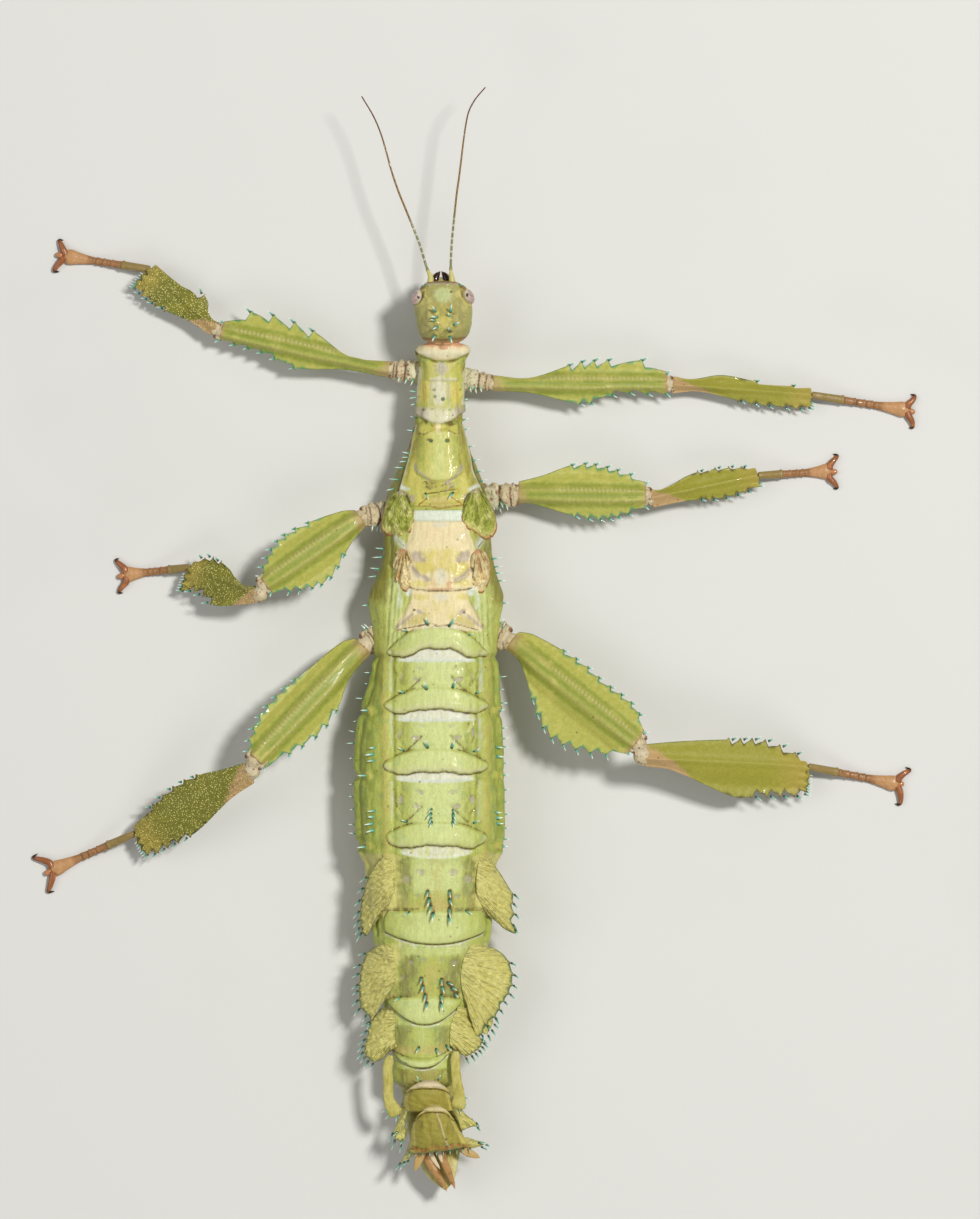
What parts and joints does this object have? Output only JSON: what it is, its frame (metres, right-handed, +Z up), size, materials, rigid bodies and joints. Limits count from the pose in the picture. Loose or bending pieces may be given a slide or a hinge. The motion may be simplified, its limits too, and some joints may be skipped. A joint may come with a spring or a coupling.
{
  "type": "giant prickly stick insect",
  "caption": "Life-size still model of an adult female giant prickly stick insect, sprawled flat with her leafy legs, spined crown, wing stubs and lobed abdomen spread on the floor.",
  "frame": {"origin": "on the floor, under the middle of the box round the whole insect", "axes": "+Y towards the head and feelers, +X to the insect's right, +Z up from the floor"},
  "size_m": [0.1272, 0.1578, 0.0158],
  "materials": {
    "skin": "satin yellow-green cuticle with fine grain",
    "thorax_skin": "satin cream-yellow cuticle with brown grooves",
    "head_skin": "satin olive cuticle with fine grain",
    "leg_skin": "satin yellow-green leaf with pale ridges and teal teeth",
    "shin_skin": "matt olive with pale grains and dark teeth",
    "hip_skin": "satin pinkish tan",
    "foot_skin": "glossy orange-brown",
    "claw_horn": "glossy red-brown horn with black tips",
    "eye_lens": "glossy mauve facets with a dark spot",
    "feeler_skin": "matt olive to red-brown with dark bands",
    "mouth_horn": "glossy dark red-brown",
    "wing_skin": "satin olive with raised veins and brown rims",
    "valve_horn": "glossy red-brown horn",
    "spine_horn": "satin teal to white spines"
  },
  "bodies": {
    "root": {"head": "head_skin", "eye_left": "eye_lens", "eye_right": "eye_lens", "mouthparts": "mouth_horn", "antenna_left": "feeler_skin", "antenna_right": "feeler_skin", "prothorax": "thorax_skin", "mesothorax": "thorax_skin", "metathorax": "thorax_skin", "tegmen_left": "wing_skin", "tegmen_right": "wing_skin", "hindwing_left": "wing_skin", "hindwing_right": "wing_skin", "abdomen_1": "skin", "abdomen_2": "skin", "abdomen_3": "skin", "abdomen_4": "skin", "abdomen_5": "skin", "abdomen_6": "skin", "abdomen_7": "skin", "abdomen_8": "skin", "abdomen_9": "skin", "abdomen_10": "skin", "operculum": "skin", "ovipositor_left": "valve_horn", "ovipositor_right": "valve_horn", "cercus_left": "skin", "cercus_right": "skin", "coxa_fore_left": "hip_skin", "coxa_fore_right": "hip_skin", "coxa_mid_left": "hip_skin", "coxa_mid_right": "hip_skin", "coxa_hind_left": "hip_skin", "coxa_hind_right": "hip_skin", "femur_fore_left": "leg_skin", "femur_fore_right": "leg_skin", "femur_mid_left": "leg_skin", "femur_mid_right": "leg_skin", "femur_hind_left": "leg_skin", "femur_hind_right": "leg_skin", "tibia_fore_left": "shin_skin", "tibia_fore_right": "shin_skin", "tibia_mid_left": "shin_skin", "tibia_mid_right": "shin_skin", "tibia_hind_left": "shin_skin", "tibia_hind_right": "shin_skin", "tarsus_fore_left": "foot_skin", "tarsus_fore_right": "foot_skin", "tarsus_mid_left": "foot_skin", "tarsus_mid_right": "foot_skin", "tarsus_hind_left": "foot_skin", "tarsus_hind_right": "foot_skin", "claws_fore_left": "claw_horn", "claws_fore_right": "claw_horn", "claws_mid_left": "claw_horn", "claws_mid_right": "claw_horn", "claws_hind_left": "claw_horn", "claws_hind_right": "claw_horn"}
  },
  "joints": []
}
